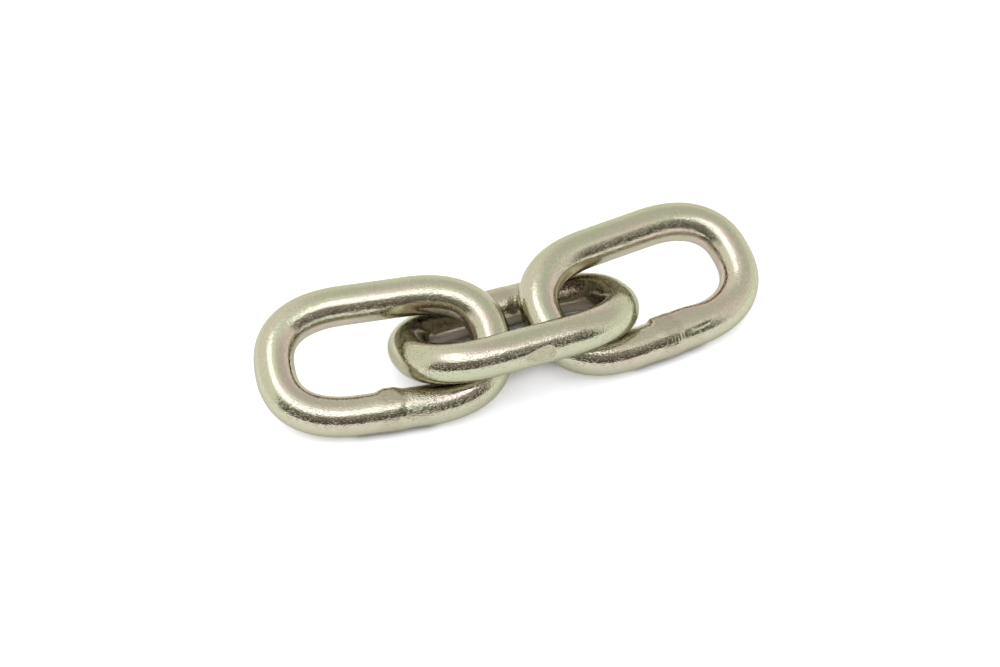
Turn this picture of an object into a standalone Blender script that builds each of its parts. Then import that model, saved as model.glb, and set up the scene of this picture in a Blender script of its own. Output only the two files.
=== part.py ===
"""Three interlocked welded chain links, lying slack on a level floor.

Each link is one round bar, bent into an oval loop and butt-welded in the middle of one straight leg.
The two end links pass through the middle link's hole: over its far leg, which lies on the floor, and
under its near leg, which rests on both of their crowns. Every link so lies tilted, along one leg.
"""
from math import cos, pi, radians, sin

import bmesh
import bpy
from mathutils import Matrix, Vector

# The link, in metres
BAR = 0.008
INSIDE_LENGTH = 0.0346
INSIDE_WIDTH = 0.0152
CROWN_DEPTH = 0.0154
CROWN_FULLNESS = 2.43

# How far from an end link's middle its swing is centred, on its long axis: here it clears the middle
# link from one end of the swing to the other
SWING_CENTRE = 0.0083

# The butt weld: a collar on one leg, rising gently at one end and stepping down at the other
WELD_SWELL = 0.0004
WELD_LENGTH = 0.0069
WELD_RISE = 0.003
WELD_STEP = 0.0004
FLOOR_CLEAR_ANGLE = radians(60)

# The facets round the bar and the rings along a crown and along a leg
SIDES = 24
CROWN_RINGS = 21
LEG_RINGS = 3

# Worked out from the above
CENTRE_LENGTH = INSIDE_LENGTH + BAR
CENTRE_WIDTH = INSIDE_WIDTH + BAR
LEG_HALF = CENTRE_LENGTH / 2 - CROWN_DEPTH
FACET_RADIUS = BAR / 2 * cos(pi / SIDES)

# How each link lies: its middle on the floor, its turn seen from above, its tilt about its long axis
# (positive lifts the far leg), and where its weld's middle is along the leg that touches the floor.
# An end link swings in its own plane, about a point towards the crown that the middle link holds:
# side 1 is its right-hand crown, -1 its left-hand one.
LINKS = {
    "left_link": {"x": -0.02473, "y": -0.01078, "turn": 11.5, "tilt": 22.4, "weld": -0.0012, "swing_side": 1},
    "middle_link": {"x": 0.0005, "y": -0.00335, "turn": 20.7, "tilt": -24.2, "weld": 0.0003, "swing_side": 0},
    "right_link": {"x": 0.02562, "y": 0.008, "turn": 27.1, "tilt": 23.0, "weld": -0.0004, "swing_side": -1},
}

STEEL_COLOUR = (0.62, 0.59, 0.48, 1.0)
STEEL_ROUGHNESS = 0.25


def clear_scene():
    for thing in list(bpy.data.objects):
        bpy.data.objects.remove(thing, do_unlink=True)


def plated_steel(name):
    material = bpy.data.materials.new(name)
    material.use_nodes = True
    shader = material.node_tree.nodes["Principled BSDF"]
    shader.inputs["Base Color"].default_value = STEEL_COLOUR
    shader.inputs["Roughness"].default_value = STEEL_ROUGHNESS
    shader.inputs["Metallic"].default_value = 1.0
    return material


def smoothstep(value):
    value = min(max(value, 0.0), 1.0)
    return value * value * (3.0 - 2.0 * value)


def crown_point(angle):
    """A point of the right-hand crown's centre line, a superellipse from the near leg to the far one."""
    along = abs(cos(angle)) ** (2 / CROWN_FULLNESS)
    across = abs(sin(angle)) ** (2 / CROWN_FULLNESS)
    side = 1.0 if angle >= 0.0 else -1.0
    return Vector((LEG_HALF + CROWN_DEPTH * along, side * CENTRE_WIDTH / 2 * across, 0.0))


def crown_rings(side):
    """Places and headings along one crown: side 1 is the right-hand one, from near leg to far leg."""
    step = pi / CROWN_RINGS
    rings = []
    for i in range(CROWN_RINGS):
        angle = -pi / 2 + (i + 0.5) * step
        heading = crown_point(angle + step / 4) - crown_point(angle - step / 4)
        rings.append((side * crown_point(angle), side * heading.normalized(), 0.0))
    return rings


def weld_height(place, weld):
    """The collar's swell at a place along the welded leg, from 0 to 1."""
    start = weld - WELD_LENGTH / 2
    end = weld + WELD_LENGTH / 2
    return smoothstep((place - start) / WELD_RISE) * smoothstep((end - place) / WELD_STEP)


def leg_rings(side, weld):
    """Places and headings along one leg: side 1 is the far one. A leg with no weld gets None for it."""
    if weld is None:
        places = [-LEG_HALF + 2 * LEG_HALF * i / (LEG_RINGS - 1) for i in range(LEG_RINGS)]
    else:
        start = weld - WELD_LENGTH / 2
        end = weld + WELD_LENGTH / 2
        collar = [start + WELD_RISE * i / 3 for i in range(4)] + [end - WELD_STEP, end]
        places = [-LEG_HALF] + collar + [LEG_HALF]
    if side > 0:
        places.reverse()
    heading = Vector((-side, 0.0, 0.0))
    swells = [0.0 if weld is None else weld_height(place, weld) for place in places]
    return [(Vector((x, side * CENTRE_WIDTH / 2, 0.0)), heading, swell) for x, swell in zip(places, swells)]


def loop_rings(floor_side, weld):
    """The whole loop in order, counter-clockwise from above; the leg on the floor side has the weld."""
    rings = []
    for side in (1, -1):
        rings += crown_rings(side)
        rings += leg_rings(side, weld if side == floor_side else None)
    return rings


def link_mesh(name, tilt, weld):
    """Sweeps the bar round the loop, its facets turned so that one of them lies flat on the floor."""
    up = Vector((0.0, 0.0, 1.0))
    build = bmesh.new()
    loops = []
    for place, heading, swell in loop_rings(-1 if tilt > 0 else 1, weld):
        inward = up.cross(heading)
        loop = []
        for k in range(SIDES):
            from_down = 2 * pi * (k + 0.5) / SIDES
            off_floor = smoothstep((min(from_down, 2 * pi - from_down) - pi / SIDES) / FLOOR_CLEAR_ANGLE)
            radius = BAR / 2 + WELD_SWELL * swell * off_floor
            angle = from_down - pi / 2 - abs(tilt)
            loop.append(build.verts.new(place + radius * (cos(angle) * inward + sin(angle) * up)))
        loops.append(loop)
    for i, loop in enumerate(loops):
        after = loops[(i + 1) % len(loops)]
        for k in range(SIDES):
            build.faces.new((loop[k], after[k], after[(k + 1) % SIDES], loop[(k + 1) % SIDES]))
    bmesh.ops.recalc_face_normals(build, faces=build.faces)
    bmesh.ops.triangulate(build, faces=build.faces)
    mesh = bpy.data.meshes.new(name)
    build.to_mesh(mesh)
    build.free()
    mesh.shade_smooth()
    return mesh


def add_link(name, pose):
    """Lays a link on the floor; an end link hangs on an empty whose Z axis is its swing axis."""
    tilt = radians(pose["tilt"])
    link = bpy.data.objects.new(name, link_mesh(name, tilt, pose["weld"]))
    link.data.materials.append(plated_steel(name + "_steel"))
    bpy.context.scene.collection.objects.link(link)
    height = FACET_RADIUS + CENTRE_WIDTH / 2 * sin(abs(tilt))
    turn = Matrix.Rotation(radians(pose["turn"]), 4, "Z")
    lean = Matrix.Rotation(tilt, 4, "X")
    lying = Matrix.Translation((pose["x"], pose["y"], height)) @ turn @ lean
    if pose["swing_side"] == 0:
        link.matrix_basis = lying
        return
    to_axis = Matrix.Translation((pose["swing_side"] * SWING_CENTRE, 0.0, 0.0))
    axis = bpy.data.objects.new(name + "_swing_axis", None)
    bpy.context.scene.collection.objects.link(axis)
    axis.matrix_basis = lying @ to_axis
    link.parent = axis
    link.matrix_basis = to_axis.inverted()


def main():
    clear_scene()
    for name, pose in LINKS.items():
        add_link(name, pose)


main()
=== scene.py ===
# %% [markdown]
# # Three interlocked links of plated chain
#
# Three oval links of zinc-plated steel bar lie slack on a white table, hooked through one another.
# The CAD frame holds each link as one faceted solid. This script dresses it: it draws each link again
# as a finely divided bar with its weld, its press marks and its plated finish, and lays it exactly where
# the CAD link lies. Every length is in metres, unless its name says otherwise.

# %% Load the frame
from math import cos, pi, radians, sin

import bpy
from mathutils import Matrix, Vector


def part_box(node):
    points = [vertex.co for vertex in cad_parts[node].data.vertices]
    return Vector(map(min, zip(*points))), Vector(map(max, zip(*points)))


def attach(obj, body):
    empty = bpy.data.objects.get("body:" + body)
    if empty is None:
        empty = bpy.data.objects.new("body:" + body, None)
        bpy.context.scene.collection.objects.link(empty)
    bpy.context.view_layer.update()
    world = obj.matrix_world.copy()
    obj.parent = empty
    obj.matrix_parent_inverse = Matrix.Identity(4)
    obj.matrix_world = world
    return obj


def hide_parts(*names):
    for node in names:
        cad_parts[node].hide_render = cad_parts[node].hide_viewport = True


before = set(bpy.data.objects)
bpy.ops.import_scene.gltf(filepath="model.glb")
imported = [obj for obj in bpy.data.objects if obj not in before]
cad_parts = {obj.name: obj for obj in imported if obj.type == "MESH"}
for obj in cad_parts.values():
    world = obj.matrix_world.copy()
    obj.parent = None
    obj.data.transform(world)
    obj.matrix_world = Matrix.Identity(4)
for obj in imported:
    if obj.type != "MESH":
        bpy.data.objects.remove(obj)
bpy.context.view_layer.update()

# %% [markdown]
# ## Where the links lie
#
# Each link lies on one leg and leans on its neighbour's bar, so it has a turn seen from above and a tilt
# about its long axis. A simulation could drop the links into place, but they would not end exactly where
# the CAD links are, so the places are the CAD's own. A link's own frame has X along the link, Y across
# it and Z out of its upper face.
#
# The CAD bar is 8 mm thick and has 24 facets. The drawn bar is the round one that just fits inside them.

# %% Where each link lies
FACETS = 24
BAR_RADIUS = 0.004 * cos(pi / FACETS)
LEG_SPACING = 0.0232
STRAIGHT_HALF = 0.0059
POSES = {
    "left_link": {"place": (-0.02473, -0.01078), "turn": 11.5, "tilt": 22.4},
    "middle_link": {"place": (0.0005, -0.00335), "turn": 20.7, "tilt": -24.2},
    "right_link": {"place": (0.02562, 0.008), "turn": 27.1, "tilt": 23.0},
}


def lying_matrix(pose):
    """From the link's own frame to where it lies: the leg on the floor touches it along its length."""
    turn = Matrix.Rotation(radians(pose["turn"]), 4, "Z")
    tilt = Matrix.Rotation(radians(pose["tilt"]), 4, "X")
    height = BAR_RADIUS + LEG_SPACING / 2 * sin(radians(abs(pose["tilt"])))
    return Matrix.Translation((*pose["place"], height)) @ turn @ tilt


for name, pose in POSES.items():
    print(name, "turned", pose["turn"], "and tilted", pose["tilt"], "degrees")

# %% [markdown]
# ## The camera
#
# The photo was taken from about half a metre away, with a short telephoto lens, looking down by 45
# degrees. A camera can be placed by eye, but a few degrees off already move each bar off its outline.
# This place came from fitting three oval loops to the outlines in the photo, so the camera and the links
# belong together: with this lens each link falls on its own outline.

# %% Camera
CAMERA_PLACE = Vector((-0.00219, -0.35160, 0.35336))
CAMERA_TARGET = Vector((-0.00219, 0.00359, 0.0))
LENS_MM = 90
SENSOR_MM = 36
NEAREST_SEEN = 0.01

camera = bpy.data.objects.new("camera", bpy.data.cameras.new("camera"))
camera.data.lens = LENS_MM
camera.data.sensor_width = SENSOR_MM
camera.data.sensor_fit = "HORIZONTAL"
camera.data.clip_start = NEAREST_SEEN
camera.location = CAMERA_PLACE
camera.rotation_euler = (CAMERA_TARGET - CAMERA_PLACE).to_track_quat("-Z", "Y").to_euler()
bpy.context.scene.collection.objects.link(camera)
bpy.context.scene.camera = camera
print("camera distance, mm:", round((CAMERA_TARGET - CAMERA_PLACE).length * 1000))

# %% [markdown]
# ## Writing node trees as text
#
# The shape, the finish and the light are all node trees. Wiring them one socket at a time would hide
# what they say, so one small class stands for the output of a node. Sums and products of it add Math
# nodes, or Vector Math nodes where a vector takes part. Every other node comes from `node`, which takes
# its type, its settings and what goes into its sockets.


# %% The link between two nodes
class Link:
    """The output of a node. Arithmetic on it adds a Math node, or Vector Math where it is a vector."""

    def __init__(self, tree, socket):
        self.tree = tree
        self.socket = socket
        self.is_vector = socket.type == "VECTOR"

    def __getitem__(self, output):
        return Link(self.tree, self.socket.node.outputs[output])

    def math(self, operation, first, second=None):
        values = {0: first} if second is None else {0: first, 1: second}
        vectors = [isinstance(value, Link) and value.is_vector for value in values.values()]
        if not any(vectors):
            return node(self.tree, "ShaderNodeMath", {"operation": operation}, values)
        if operation == "MULTIPLY" and not all(vectors):
            vector, factor = (first, second) if vectors[0] else (second, first)
            values = {0: vector, "Scale": factor}
            return node(self.tree, "ShaderNodeVectorMath", {"operation": "SCALE"}, values)
        return node(self.tree, "ShaderNodeVectorMath", {"operation": operation}, values)

    def __add__(self, other):
        return self.math("ADD", self, other)

    def __radd__(self, other):
        return self.math("ADD", other, self)

    def __sub__(self, other):
        return self.math("SUBTRACT", self, other)

    def __rsub__(self, other):
        return self.math("SUBTRACT", other, self)

    def __mul__(self, other):
        return self.math("MULTIPLY", self, other)

    def __rmul__(self, other):
        return self.math("MULTIPLY", other, self)

    def __truediv__(self, other):
        return self.math("DIVIDE", self, other)

    def __rtruediv__(self, other):
        return self.math("DIVIDE", other, self)

    def __pow__(self, other):
        return self.math("POWER", self, other)

    def __abs__(self):
        return self.math("ABSOLUTE", self)


print("a Link stands for the output of a node")


# %% Any other node
def node(tree, kind, settings=None, values=None):
    """Adds a node: its settings, then the number, vector or Link of each socket. Gives its first output."""
    made = tree.nodes.new(kind)
    for name, value in (settings or {}).items():
        setattr(made, name, value)
    for name, value in (values or {}).items():
        if isinstance(name, int):
            socket = made.inputs[name]
        else:
            socket = [one for one in made.inputs if one.enabled and one.name == name][0]
        if isinstance(value, Link):
            tree.links.new(value.socket, socket)
        else:
            socket.default_value = value
    outputs = [socket for socket in made.outputs if socket.enabled]
    return Link(tree, outputs[0]) if outputs else None


def rise(value, start, end):
    """A smooth step: 0 before start, 1 after end."""
    limits = {"Value": value, "From Min": start, "From Max": end, "To Min": 0.0, "To Max": 1.0}
    return node(value.tree, "ShaderNodeMapRange", {"interpolation_type": "SMOOTHSTEP"}, limits)


def largest(first, second):
    return first.math("MAXIMUM", first, second)


def cosine(value):
    return value.math("COSINE", value)


def sine(value):
    return value.math("SINE", value)


def vector(tree, x, y, z):
    return node(tree, "ShaderNodeCombineXYZ", None, {"X": x, "Y": y, "Z": z})


def parts_of(link):
    """The X, Y and Z of a vector."""
    split = node(link.tree, "ShaderNodeSeparateXYZ", None, {0: link})
    return split["X"], split["Y"], split["Z"]


print("helpers: node, rise, largest, cosine, sine, vector, parts_of")

# %% [markdown]
# ## The light
#
# Bright metal has almost no colour of its own: what it shows is the room. On each bar of the photo the
# same stripes lie one above the other: the white table, then a dark stripe, then a burning white one,
# then a soft grey. So the room had a white table, something dark standing low in front, beside the
# camera, a large lamp or window high overhead and a little to the left, and pale walls.
# Separate lamps would each need a stand and a size. The world shader can simply say how bright the room
# is in each direction, and the links mirror it whichever side they are seen from.
#
# The stripes also say where each thing stood, because the bar's curve tells which way each point of it
# reflects. The lamp is an arch that runs from behind on the left, round the front, to the front right.
# It begins about 50 degrees up in front and 60 at its left end, and it ends near 78 degrees. The dark
# thing fills 57 degrees to either side of the front, up to about 47 degrees. The wall behind on the
# right is the dimmest of the pale ones.

# %% How bright the room is
WALL = 1.10
WALL_DIM = 0.80
CEILING = 1.15
LAMP = 2.3
LAMP_COLOUR = (0.98, 0.99, 1.14)
FRONT_LOW = 0.19
FRONT_HIGH = 0.40
FRONT_COLOUR = (1.0, 0.93, 0.88)
print("walls", WALL_DIM, "to", WALL, "lamp", LAMP, "low in front", FRONT_LOW, "to", FRONT_HIGH)

# %% [markdown]
# Directions are given in degrees. An azimuth is 0 toward the camera and positive to the right. Each
# pair of elevations says where a soft edge begins and where it ends. The edges of the lamp and of the
# dark thing aren't level: a slope or lean moves them up or down as the direction turns.

# %% Where the room's parts are
LAMP_SECTOR = {"middle": -34, "half_width": 85, "softness": 5}
FRONT_SECTOR = {"middle": 4, "half_width": 57, "softness": 6}
DIM_SECTOR = {"middle": 140, "half_width": 55, "softness": 25}
LAMP_BOTTOM = (50, 65)
LAMP_TOP = (74, 85)
LAMP_SLOPE = 0.13
LAMP_LEAN = 0.04
LAMP_TOP_SLOPE = 0.06
FRONT_TOP = (43, 51)
FRONT_SLOPE = 0.09
FRONT_BRIGHTENING = (10, 45)
DIM_BOTTOM = (15, 45)
DIM_TOP = (76, 88)
CEILING_EDGE = (66, 80)
print("lamp round azimuth", LAMP_SECTOR["middle"], "from elevation", LAMP_BOTTOM[0], "to", LAMP_TOP[1])

# %% Reading a direction
LEAST_LEVEL = 0.001

world = bpy.data.worlds.new("studio")
bpy.context.scene.world = world
world.use_nodes = True
room = world.node_tree
room.nodes.clear()
way_x, way_y, height = parts_of(node(room, "ShaderNodeTexCoord")["Generated"])
level = largest((way_x * way_x + way_y * way_y) ** 0.5, LEAST_LEVEL)


def climb(value, elevations):
    """A smooth step, as the height of a direction passes from the lower elevation to the upper one."""
    lower, upper = elevations
    return rise(value, sin(radians(lower)), sin(radians(upper)))


def sector(middle, half_width, softness):
    """1 within half_width of the middle azimuth, with a soft edge to either side."""
    toward = (way_x * sin(radians(middle)) - way_y * cos(radians(middle))) / level
    return rise(toward, cos(radians(half_width + softness)), cos(radians(half_width - softness)))


print("a direction has an azimuth, read by sector, and a height, read by climb")

# %% The room, by direction
dim = climb(height, DIM_BOTTOM) * (1.0 - climb(height, DIM_TOP)) * sector(**DIM_SECTOR)
walls = WALL + (WALL_DIM - WALL) * dim
walls = walls + (CEILING - WALL) * climb(height, CEILING_EDGE)
lamp_bottom = climb(height - LAMP_SLOPE * way_y + LAMP_LEAN * way_x, LAMP_BOTTOM)
lamp_top = 1.0 - climb(height + LAMP_TOP_SLOPE * way_x, LAMP_TOP)
lamp = lamp_bottom * lamp_top * sector(**LAMP_SECTOR)
front = (1.0 - climb(height - FRONT_SLOPE * way_x, FRONT_TOP)) * sector(**FRONT_SECTOR)
front_level = FRONT_LOW + (FRONT_HIGH - FRONT_LOW) * climb(height, FRONT_BRIGHTENING)
white = vector(room, 1.0, 1.0, 1.0)
lit = white * (walls * (1.0 - lamp)) + vector(room, *LAMP_COLOUR) * (LAMP * lamp)
colour = lit * (1.0 - front) + vector(room, *FRONT_COLOUR) * (front_level * front)
sky = node(room, "ShaderNodeBackground", None, {"Color": colour, "Strength": 1.0})
node(room, "ShaderNodeOutputWorld", None, {"Surface": sky})
print("the room is a tree of", len(room.nodes), "nodes")

# %% [markdown]
# ## The table
#
# The table in the photo is so bright that it burns out to pure white, and shows only the shadows close
# to the bars. A plain white plane would go grey under the links. The real one is white even under the
# raised legs, so this one is given a painted glow: it shines a little itself, though it is no lamp. The
# glow fades only where a bar lies on it and inside the middle link's hole, which paints the shadows
# there. The Standard view transform keeps white at white, and its contrast look gives the metal the
# depth that it has in the photo.

# %% Table and view
FLOOR_HALF = 3.0
FLOOR_COLOUR = (0.93, 0.94, 0.95, 1.0)
FLOOR_ROUGHNESS = 0.9
FLOOR_GLOSS = 0.1

floor_mesh = bpy.data.meshes.new("floor")
corners = [(x * FLOOR_HALF, y * FLOOR_HALF, 0.0) for x, y in ((-1, -1), (1, -1), (1, 1), (-1, 1))]
floor_mesh.from_pydata(corners, [], [(0, 1, 2, 3)])
floor = bpy.data.objects.new("floor", floor_mesh)
bpy.context.scene.collection.objects.link(floor)
paper = bpy.data.materials.new("white_table")
paper.use_nodes = True
sheet = paper.node_tree
matt = sheet.nodes["Principled BSDF"]
matt.inputs["Base Color"].default_value = FLOOR_COLOUR
matt.inputs["Roughness"].default_value = FLOOR_ROUGHNESS
matt.inputs["Specular IOR Level"].default_value = FLOOR_GLOSS
matt.inputs["Emission Strength"].default_value = 1.0
floor.data.materials.append(paper)
bpy.context.scene.view_settings.view_transform = "Standard"
bpy.context.scene.view_settings.look = "Medium High Contrast"
print("floor, m:", 2 * FLOOR_HALF, "square")

# %% The painted glow of the table, and its painted shadows
PAINTED_GLOW = 0.28
PAINTED_CONTACT_SHADOW = (0.001, 0.0042)
HOLE_BEHIND = 0.003
HOLE_HALF = 0.012
PAINTED_HOLE_SHADOW = (0.005, 0.010)

place_x, place_y, _ = parts_of(node(sheet, "ShaderNodeTexCoord")["Object"])


def from_line(pose, side_shift, half_length):
    """How far the table is from a line along a link, side_shift to the far side of its middle."""
    middle = lying_matrix(pose) @ Vector((0.0, side_shift, 0.0))
    turn = radians(pose["turn"])
    off_x = place_x - middle.x
    off_y = place_y - middle.y
    beyond = largest(abs(off_x * cos(turn) + off_y * sin(turn)) - half_length, 0.0)
    across = off_y * cos(turn) - off_x * sin(turn)
    return (beyond * beyond + across * across) ** 0.5


# The table's glow is painted light, as no lamp lights it. Where it fades, near each leg that lies on the
# floor and inside the middle link's hole, it paints shadows.
painted_glow = PAINTED_GLOW * rise(from_line(POSES["middle_link"], HOLE_BEHIND, HOLE_HALF), *PAINTED_HOLE_SHADOW)
for pose in POSES.values():
    floor_side = -1 if pose["tilt"] > 0 else 1
    painted_glow = painted_glow * rise(from_line(pose, floor_side * LEG_SPACING / 2, STRAIGHT_HALF), *PAINTED_CONTACT_SHADOW)
sheet.links.new(vector(sheet, painted_glow, painted_glow, painted_glow).socket, matt.inputs["Emission Color"])
print("the table glows by", PAINTED_GLOW, "away from the bars")

# %% [markdown]
# ## The plated finish
#
# The bars were drawn through a die, cut, bent, welded and then barrel-plated with zinc under a pale
# yellow passivation. What shows is a bright, slightly straw-coloured metal with fine lines along the bar
# from the die, a fine grain with small dents from the plating barrel, rougher in patches, and faint rosy
# and greenish clouds where the passivation is thicker or thinner. The outside of a loop is painted a
# little greener, a painted sheen for the passivation's colour at grazing angles, and its inside rosier, a
# painted reflection of the neighbouring links. Around a weld the heat left the metal duller, the clamp
# left a dull flat on the middle link, and beyond two of the welds the bar is scuffed.
#
# A flat picture can't be wrapped round a closed loop without a seam. Instead each point of a link
# carries where it is round the bar and along the loop, both as points on circles, and a noise of four
# dimensions reads them: it closes on itself in both directions.

# %% The colours of the plating
METAL = (0.458, 0.433, 0.326, 1.0)
ROSY = (0.484, 0.417, 0.336, 1.0)
GREENISH = (0.437, 0.443, 0.312, 1.0)
SCORCHED = (0.370, 0.325, 0.235, 1.0)
DENT_SHADE_COLOUR = (0.240, 0.215, 0.165, 1.0)
PRESSED = (0.345, 0.335, 0.225, 1.0)
EDGE_TINT = (0.68, 0.69, 0.62, 1.0)
print("plated steel is", METAL[:3], "between", ROSY[:3], "and", GREENISH[:3])

# %% A seamless noise on the bar
MM = 0.001


def carried(tree, name, output):
    """What the shape's node tree stored on the bar under this name."""
    return node(tree, "ShaderNodeAttribute", {"attribute_name": name})[output]


def bar_noise(tree, around_mm, along_mm, detail, shift=0.0):
    """Noise from 0 to 1 on the bar, with grains of about the given sizes round it and along it."""
    around_x, around_y, _ = parts_of(carried(tree, "round_the_bar", "Vector"))
    along_x, along_y, _ = parts_of(carried(tree, "along_the_loop", "Vector"))
    around = 1.0 / (around_mm * MM)
    along = 1.0 / (along_mm * MM)
    place = vector(tree, around_x * around, around_y * around, along_x * along)
    values = {"Vector": place, "W": along_y * along + shift, "Scale": 1.0, "Detail": detail}
    return node(tree, "ShaderNodeTexNoise", {"noise_dimensions": "4D"}, values)


print("bar_noise takes the size of its grains round the bar and along it, in mm")

# %% What varies over the bar
DENT_EDGE = (0.57, 0.68)
PATCH_EDGE = (0.40, 0.56)

plated = bpy.data.materials.new("plated_steel")
plated.use_nodes = True
skin = plated.node_tree
shader = skin.nodes["Principled BSDF"]
clouds = bar_noise(skin, 2.4, 16.0, detail=2.0)
other_clouds = bar_noise(skin, 2.8, 14.0, detail=1.0, shift=31.0)
die_lines = bar_noise(skin, 0.25, 4.0, detail=2.0, shift=7.0)
grain = bar_noise(skin, 0.23, 0.27, detail=0.0, shift=17.0)
dents = rise(bar_noise(skin, 0.26, 0.32, detail=0.0, shift=71.0), *DENT_EDGE)
rough_patch = rise(bar_noise(skin, 3.0, 5.0, detail=2.0, shift=43.0), *PATCH_EDGE)
outwards = parts_of(carried(skin, "round_the_bar", "Vector"))[0] / BAR_RADIUS
scorched = carried(skin, "weld_scorch", "Fac")
scuffed = carried(skin, "weld_scuff", "Fac")
pressed = carried(skin, "pressed_flat", "Fac")
print("six noises and three marks in a tree of", len(skin.nodes), "nodes")

# %% The colour of the plating
ROSY_EDGE = (0.50, 0.68)
GREENISH_EDGE = (0.50, 0.70)
PAINTED_SHEEN_LEAN = 0.09
SCORCH_TINT = 0.35
PRESS_TINT = 0.7
DENT_SHADE = 0.06
DENT_SHADE_IN_PATCH = 0.12


def laid_over(under, colour, amount):
    """A colour laid over another one, by an amount from 0 to 1."""
    return node(skin, "ShaderNodeMix", {"data_type": "RGBA"}, {"Factor": amount, "A": under, "B": colour})


# The lean paints the outside of the loop greener, a painted sheen, and its inside rosier, a painted
# reflection of the neighbouring links.
tinted = laid_over(METAL, ROSY, rise(clouds - PAINTED_SHEEN_LEAN * outwards, *ROSY_EDGE))
tinted = laid_over(tinted, GREENISH, rise(other_clouds + PAINTED_SHEEN_LEAN * outwards, *GREENISH_EDGE))
tinted = laid_over(tinted, SCORCHED, scorched * SCORCH_TINT)
tinted = laid_over(tinted, PRESSED, pressed * PRESS_TINT)
# Each dent is painted a little darker, deeper in the rough patches: a painted shade in the dent.
tinted = laid_over(tinted, DENT_SHADE_COLOUR, dents * (DENT_SHADE + DENT_SHADE_IN_PATCH * rough_patch))
skin.links.new(tinted.socket, shader.inputs["Base Color"])
shader.inputs["Metallic"].default_value = 1.0
shader.inputs["Specular Tint"].default_value = EDGE_TINT
print("clouds lean by", PAINTED_SHEEN_LEAN, "from the inside of the loop to its outside")

# %% [markdown]
# The dents could be dark dots in the colour. But in the photo they show only inside the dark stripe, as
# bright specks: each is a slope that mirrors the lamp. So they are relief, and so are the grain and the
# lines of the die. The colour under a dent is only a little darker, a painted shade in the dent.

# %% The gloss and the relief of the plating
POLISH = 0.045
PATCH_DULLS = 0.02
SCORCH_DULLS = 0.04
SCUFF_DULLS = 0.04
PRESS_DULLS = 0.06
LINE_HEIGHT = 0.06
LINE_HEIGHT_SCORCHED = 0.44
GRAIN_HEIGHT = 0.14
GRAIN_HEIGHT_IN_PATCH = 0.14
GRAIN_HEIGHT_SCUFFED = 0.6
GRAIN_HEIGHT_PRESSED = 0.35
DENT_DEPTH = 0.12
DENT_DEPTH_IN_PATCH = 0.09
DENT_DEPTH_SCUFFED = 0.04
RELIEF_HEIGHT = 0.00012

roughness = POLISH + PATCH_DULLS * rough_patch + SCORCH_DULLS * scorched
roughness = roughness + SCUFF_DULLS * scuffed + PRESS_DULLS * pressed
skin.links.new(roughness.socket, shader.inputs["Roughness"])

line_height = LINE_HEIGHT + LINE_HEIGHT_SCORCHED * scorched
grain_height = GRAIN_HEIGHT + GRAIN_HEIGHT_IN_PATCH * rough_patch
grain_height = grain_height + GRAIN_HEIGHT_SCUFFED * scuffed + GRAIN_HEIGHT_PRESSED * pressed
dent_depth = DENT_DEPTH + DENT_DEPTH_IN_PATCH * rough_patch + DENT_DEPTH_SCUFFED * scuffed
relief = die_lines * line_height + grain * grain_height - dents * dent_depth
bump = node(skin, "ShaderNodeBump", None, {"Strength": 1.0, "Distance": RELIEF_HEIGHT, "Height": relief})
skin.links.new(bump.socket, shader.inputs["Normal"])
print("finish:", plated.name, "with", len(skin.nodes), "nodes")

# %% [markdown]
# ## The shape of a welded link
#
# A link is one round bar bent into an oval: two straight legs and two crowns a little squarer than half
# circles. The ends meet in the middle of one leg, where they were pressed together white-hot. The metal
# that was squeezed out stands there as a low collar, which rises gently on one side and ends in a step
# on the other, with a lip of flash left on the inside.
# All of it follows a rule, so one Geometry Nodes tree makes every link. It bends a flat grid: one
# direction of the grid follows the loop, the other goes round the bar. A sweep along a curve would give
# the plain bar as well, but on a grid the radius can be any expression of the place on it.

# %% The tree and its named inputs
link_tree = bpy.data.node_groups.new("welded_link", "GeometryNodeTree")
link_tree.interface.new_socket("Geometry", in_out="INPUT", socket_type="NodeSocketGeometry")
link_tree.interface.new_socket("Geometry", in_out="OUTPUT", socket_type="NodeSocketGeometry")
SIZES = {
    "Bar Radius": BAR_RADIUS,
    "Leg Spacing": LEG_SPACING,
    "Straight Half": STRAIGHT_HALF,
    "Crown Depth": 0.0154,
    "Crown Fullness": 2.43,
    "Floor Angle": radians(-67),
    "Welded Side": -1.0,
    "Weld Place": 0.0,
    "Weld Length": 0.0069,
    "Weld Rise": 0.003,
    "Weld Step": 0.0018,
    "Weld Swell": 0.00012,
    "Weld Belly": 0.0,
    "Weld Offset": 0.0001,
    "Flash Height": 0.0005,
    "Flash Start": -0.0034,
    "Flash Rise": 0.0020,
    "Flash End": 0.0026,
    "Flash Fade": 0.0026,
    "Flash Angle": radians(152),
    "Rib Height": 0.0,
    "Scuff": 0.0,
    "Pad Side": 0.0,
    "Pad Start": -0.0042,
    "Pad End": 0.0036,
    "Pad Angle": radians(-12),
    "Pad Half Angle": radians(28),
    "Pit Depth": 0.0,
    "Pit Place": 0.0066,
    "Pit Angle": radians(67),
    "Waviness": 0.00004,
}
COUNTS = {"Rings": 700, "Sides": 128, "Seed": 1}
for name, value in SIZES.items():
    link_tree.interface.new_socket(name, in_out="INPUT", socket_type="NodeSocketFloat").default_value = value
for name, value in COUNTS.items():
    link_tree.interface.new_socket(name, in_out="INPUT", socket_type="NodeSocketInt").default_value = value
link_tree.interface.new_socket("Finish", in_out="INPUT", socket_type="NodeSocketMaterial")
given = node(link_tree, "NodeGroupInput")
print("welded_link has", len(SIZES) + len(COUNTS) + 1, "named inputs")

# %% [markdown]
# The path is a circle of points whose sine and cosine are bent into the oval: each is raised to a power
# a little under one, which fills the crowns out, and the two halves are moved apart by the straight legs.

# %% The loop that the bar follows
LOOP_POINTS = 720

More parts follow.
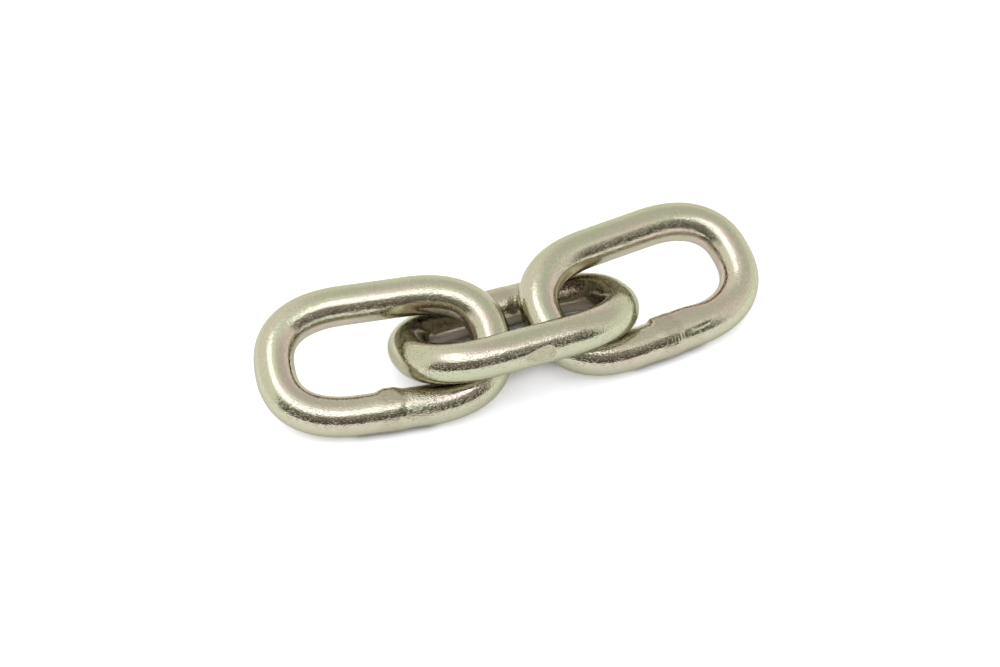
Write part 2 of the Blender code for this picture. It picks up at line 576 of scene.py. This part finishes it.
circle = node(link_tree, "GeometryNodeCurvePrimitiveCircle", None, {"Resolution": LOOP_POINTS, "Radius": 1.0})
turn_x, turn_y, _ = parts_of(node(link_tree, "GeometryNodeInputPosition"))
power = 2.0 / given["Crown Fullness"]
end_side = turn_x.math("SIGN", turn_x)
leg_side = turn_y.math("SIGN", turn_y)
loop_x = end_side * (given["Straight Half"] + given["Crown Depth"] * abs(turn_x) ** power)
loop_y = leg_side * (given["Leg Spacing"] / 2.0 * abs(turn_y) ** power)
loop_place = vector(link_tree, loop_x, loop_y, 0.0)
loop = node(link_tree, "GeometryNodeSetPosition", None, {"Geometry": circle, "Position": loop_place})
loop_length = node(link_tree, "GeometryNodeCurveLength", None, {"Curve": loop})
print("the loop has", LOOP_POINTS, "points")

# %% The grid, and where each of its points is on the bar
UP = (0.0, 0.0, 1.0)

grid_counts = {"Vertices X": given["Rings"] + 1, "Vertices Y": given["Sides"] + 1}
grid = node(link_tree, "GeometryNodeMeshGrid", None, {"Size X": 1.0, "Size Y": 1.0, **grid_counts})
grid_x, grid_y, _ = parts_of(node(link_tree, "GeometryNodeInputPosition"))
share = grid_x + 0.5
angle = grid_y * (2.0 * pi)
here = node(link_tree, "GeometryNodeSampleCurve", {"mode": "FACTOR"}, {"Curves": loop, "Factor": share})
centre = here["Position"]
heading = here["Tangent"]
outward = heading.math("CROSS_PRODUCT", heading, UP)
centre_x, centre_y, _ = parts_of(centre)
print("the grid has", COUNTS["Rings"], "rings of", COUNTS["Sides"], "faces")

# %% The two circles that carry a point's place to the finish
around_vector = vector(link_tree, cosine(angle), sine(angle), 0.0)
turns = share * (2.0 * pi)
ring_radius = loop_length / (2.0 * pi)
along_vector = vector(link_tree, cosine(turns), sine(turns), 0.0) * ring_radius
print("the finish reads a point's place from two circles")

# %% [markdown]
# What the weld and the presses did is written as a change of the radius. It could be painted as bump in
# the material, but then the outline would stay smooth, and the photo shows the marks in the outline.
# `leg_window` says where along a leg a mark is, and `angle_window` where round the bar: 0 degrees is the
# outside of the loop and 90 is its upper face.

# %% Where a mark is on the bar
SIDE_BLEND = 0.001


def leg_window(side, start, start_blend, end, end_blend):
    """1 on the leg of that side between start and end, fading over the two blends."""
    on_side = rise(centre_y * side, 0.0, SIDE_BLEND)
    after_start = rise(centre_x, start, start + start_blend)
    before_end = 1.0 - rise(centre_x, end - end_blend, end)
    return on_side * after_start * before_end


def angle_between(middle):
    """How far round the bar a point is from the middle angle, from 0 to pi."""
    turned = cosine(angle - middle)
    return turned.math("ARCCOSINE", turned)


def angle_window(middle, half_width):
    """1 at the middle angle, fading to 0 at half_width to either side of it."""
    return 1.0 - rise(angle_between(middle), 0.0, half_width)


print("a mark has a window along the leg and one round the bar")

# %% [markdown]
# The collar's step doesn't run straight round the bar: its place wanders a little. Where the leg lies on
# the floor the collar fades to nothing, so that the link lies on its whole leg. A belly is one more
# swelling, on the outside of the loop alone.

# %% The collar of the weld
EDGE_WANDER = 0.0005
EDGE_WAVES = 3.0
EDGE_PHASE = 1.0
CLEAR_OF_FLOOR = radians(60)
BELLY_MIDDLE = radians(5)
BELLY_HALF = radians(55)

weld_side = given["Welded Side"]
weld_start = given["Weld Place"] - given["Weld Length"] / 2.0
wander = EDGE_WANDER * cosine(angle * EDGE_WAVES + EDGE_PHASE)
weld_end = given["Weld Place"] + given["Weld Length"] / 2.0 + wander
collar = leg_window(weld_side, weld_start, given["Weld Rise"], weld_end, given["Weld Step"])
off_floor = rise(angle_between(given["Floor Angle"]), 0.0, CLEAR_OF_FLOOR)
swelling = given["Weld Swell"] * collar * off_floor
belly = given["Weld Belly"] * collar * angle_window(BELLY_MIDDLE, BELLY_HALF)
print("the collar's step wanders by", EDGE_WANDER / MM, "mm round the bar")

# %% [markdown]
# The flash is a ridge on the inside of the loop. Where the two ends of the bar weren't quite in line when
# they met, one of them also sits a little further out, level with the floor. Beyond two of the welds the
# bar is scuffed, and the third ends in fine ribs, which its clamp left.

# %% The flash, the bar out of line, the scuffs and the ribs
FLASH_HALF = radians(36)
OUT_OF_LINE_RUN = 0.009
OUT_OF_LINE_BLEND = 0.015
SCUFF_OVERLAP = 0.0004
SCUFF_RISE = 0.0012
SCUFF_RUN = 0.009
SCUFF_FADE = 0.006
RIB_SPACING = 0.0007
RIB_RUN = 0.0038
RIB_RISE = 0.0010
RIB_FADE = 0.0008
RIB_MIDDLE = radians(55)
RIB_HALF = radians(30)

flash_run = leg_window(weld_side, *(given["Flash " + size] for size in ("Start", "Rise", "End", "Fade")))
flash = given["Flash Height"] * flash_run * angle_window(given["Flash Angle"], FLASH_HALF)
floor_angle = given["Floor Angle"]
level_out = vector(link_tree, 0.0, -1.0 * weld_side * sine(floor_angle), cosine(floor_angle))
bent_start = weld_start - OUT_OF_LINE_RUN
bent_run = leg_window(weld_side, bent_start, OUT_OF_LINE_BLEND, weld_end, given["Weld Step"])
offset = level_out * (given["Weld Offset"] * bent_run)
scuff_run = leg_window(weld_side, weld_end - SCUFF_OVERLAP, SCUFF_RISE, weld_end + SCUFF_RUN, SCUFF_FADE)
scuff = given["Scuff"] * scuff_run
rib_wave = sine(centre_x * (2.0 * pi / RIB_SPACING))
rib_run = leg_window(weld_side, weld_end - RIB_RUN, RIB_RISE, weld_end, RIB_FADE)
ribs = given["Rib Height"] * rib_wave * rib_run * angle_window(RIB_MIDDLE, RIB_HALF)
print("the ribs are", RIB_SPACING / MM, "mm apart")

# %% [markdown]
# The middle link has a flat pressed into its raised leg, opposite its weld, where the welding machine
# gripped it: long and shallow at one end, and sharp at the other. A flat on a round bar is a chord, so
# its distance from the centre line is the radius times the cosine of the half angle, over the cosine of
# the angle from the middle of the flat.

# %% The pressed flat
PAD_START_BLEND = 0.0060
PAD_END_BLEND = 0.0016
PAD_DEEPENING = 0.5
LEAST_COSINE = 0.5
FLAT_SHOWS = (0.001, 0.02)

from_pad = cosine(angle_between(given["Pad Angle"]))
half_pad = given["Pad Half Angle"]
pad_run = leg_window(given["Pad Side"], given["Pad Start"], PAD_START_BLEND, given["Pad End"], PAD_END_BLEND)
chord = cosine(half_pad * pad_run ** PAD_DEEPENING) / largest(from_pad, LEAST_COSINE)
pressed_in = largest(1.0 - chord, 0.0)
print("the flat fades in over", PAD_START_BLEND / MM, "mm and out over", PAD_END_BLEND / MM, "mm")

# %% [markdown]
# The pit beside one weld is a short groove. It slants round the bar by so many radians for each metre
# along it. The whole bar is also a little wavy from bending, except where it lies on the floor: a noise
# takes some hundredths of a millimetre off its radius, and each link's seed gives it waves of its own.

# %% The pit and the waviness of the bar
PIT_HALF_RUN = 0.0025
PIT_BLEND = 0.0015
PIT_SLANT = 20.0
PIT_HALF_ANGLE = radians(7)
WAVES_PER_METRE = 160.0
SEED_STEP = 10.0

pit_place = given["Pit Place"]
pit_run = leg_window(weld_side, pit_place - PIT_HALF_RUN, PIT_BLEND, pit_place + PIT_HALF_RUN, PIT_BLEND)
pit_middle = given["Pit Angle"] + (centre_x - pit_place) * PIT_SLANT
pit = given["Pit Depth"] * pit_run * angle_window(pit_middle, PIT_HALF_ANGLE)
along_x, along_y, _ = parts_of(along_vector)
wave_place = (around_vector * given["Bar Radius"] + vector(link_tree, 0.0, 0.0, along_x)) * WAVES_PER_METRE
wave_w = along_y * WAVES_PER_METRE + given["Seed"] * SEED_STEP
wave_values = {"Vector": wave_place, "W": wave_w, "Scale": 1.0, "Detail": 1.0}
waves = node(link_tree, "ShaderNodeTexNoise", {"noise_dimensions": "4D"}, wave_values)["Fac"]
hollows = pit + given["Waviness"] * waves * off_floor
print("a pit is", 2 * PIT_HALF_RUN / MM, "mm long, a wave about", round(1.0 / WAVES_PER_METRE / MM, 1), "mm")

# %% Bend the grid into the bar
radius = given["Bar Radius"] * (1.0 - pressed_in) + swelling + belly + flash + ribs - hollows
section = outward * (radius * cosine(angle)) + vector(link_tree, 0.0, 0.0, radius * sine(angle))
stored = {
    "round_the_bar": around_vector * given["Bar Radius"],
    "along_the_loop": along_vector,
    "weld_scorch": collar,
    "weld_scuff": scuff,
    "pressed_flat": rise(pressed_in, *FLAT_SHOWS),
}
shape = grid
for name, value in stored.items():
    settings = {"data_type": "FLOAT_VECTOR" if value.is_vector else "FLOAT", "domain": "POINT"}
    values = {"Geometry": shape, "Name": name, "Value": value}
    shape = node(link_tree, "GeometryNodeStoreNamedAttribute", settings, values)
bent = centre + offset + section
shape = node(link_tree, "GeometryNodeSetPosition", None, {"Geometry": shape, "Position": bent})
print("each point carries", ", ".join(stored))

# %% Close the bar and finish the tree
WELD_WITHIN = 0.00001

shape = node(link_tree, "GeometryNodeMergeByDistance", None, {"Geometry": shape, "Distance": WELD_WITHIN})
shape = node(link_tree, "GeometryNodeSetShadeSmooth", None, {"Geometry": shape})
shape = node(link_tree, "GeometryNodeRealizeInstances", None, {"Geometry": shape})
shape = node(link_tree, "GeometryNodeSetMaterial", None, {"Geometry": shape, "Material": given["Finish"]})
node(link_tree, "NodeGroupOutput", None, {"Geometry": shape})
print("welded_link is a tree of", len(link_tree.nodes), "nodes")

# %% [markdown]
# ## The three links
#
# No two welds came out alike, so each link has its own marks. Three copies of one mesh would be quicker
# to make, but the eye finds the same weld three times at once. The tree is evaluated once for each link
# and its result is kept as a plain mesh, laid in place in the mesh itself, so the object stays at the
# origin.

# %% What marks each link
MARKS = {
    "left_link": {"Seed": 3, "Weld Place": -0.0012, "Scuff": 1.0},
    "middle_link": {
        "Seed": 5, "Weld Place": 0.0003, "Welded Side": 1.0, "Weld Swell": 0.0001, "Weld Offset": 0.0,
        "Flash Height": 0.0, "Pad Side": -1.0, "Scuff": 1.0,
    },
    "right_link": {
        "Seed": 8, "Weld Place": -0.0004, "Weld Swell": 0.0001, "Weld Belly": 0.0002, "Weld Offset": 0.0,
        "Flash Height": 0.0006, "Flash Start": -0.0028, "Flash Rise": 0.0010, "Flash End": 0.0125,
        "Flash Fade": 0.0085, "Rib Height": 0.00002, "Pit Depth": 0.00016,
    },
}
for name, marks in MARKS.items():
    print(name, "has marks of its own:", ", ".join(marks))


# %% How a link is made
def make_link(name, pose, marks):
    """A link as a plain mesh that lies in its place, with the finish on it."""
    bar = bpy.data.objects.new(name + "_bar", bpy.data.meshes.new(name + "_seed"))
    bpy.context.scene.collection.objects.link(bar)
    modifier = bar.modifiers.new("welded_link", "NODES")
    modifier.node_group = link_tree
    values = dict(marks)
    values["Floor Angle"] = radians(abs(pose["tilt"]) - 90)
    values["Finish"] = plated
    for item in link_tree.interface.items_tree:
        if item.name in values:
            modifier[item.identifier] = values[item.name]
    evaluated = bar.evaluated_get(bpy.context.evaluated_depsgraph_get())
    mesh = bpy.data.meshes.new_from_object(evaluated)
    bar.modifiers.remove(modifier)
    bar.data = mesh
    mesh.name = name + "_bar"
    mesh.transform(lying_matrix(pose))
    return bar


def room_left(bar, name):
    """How far a link stays inside its CAD box, in mm: at its low and its high end, for X, Y and Z."""
    low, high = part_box(name)
    gaps = []
    for axis in range(3):
        places = [point.co[axis] for point in bar.data.vertices]
        gaps += [round((min(places) - low[axis]) / MM, 2), round((high[axis] - max(places)) / MM, 2)]
    return gaps


print("make_link lays a link in its place, and room_left measures it")

# %% Make, lay and dress each link
for name, pose in POSES.items():
    bar = make_link(name, pose, MARKS[name])
    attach(bar, name)
    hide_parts(name)
    triangles = sum(len(face.vertices) - 2 for face in bar.data.polygons)
    print(name, "triangles", triangles, "inside its CAD box by, mm:", room_left(bar, name))
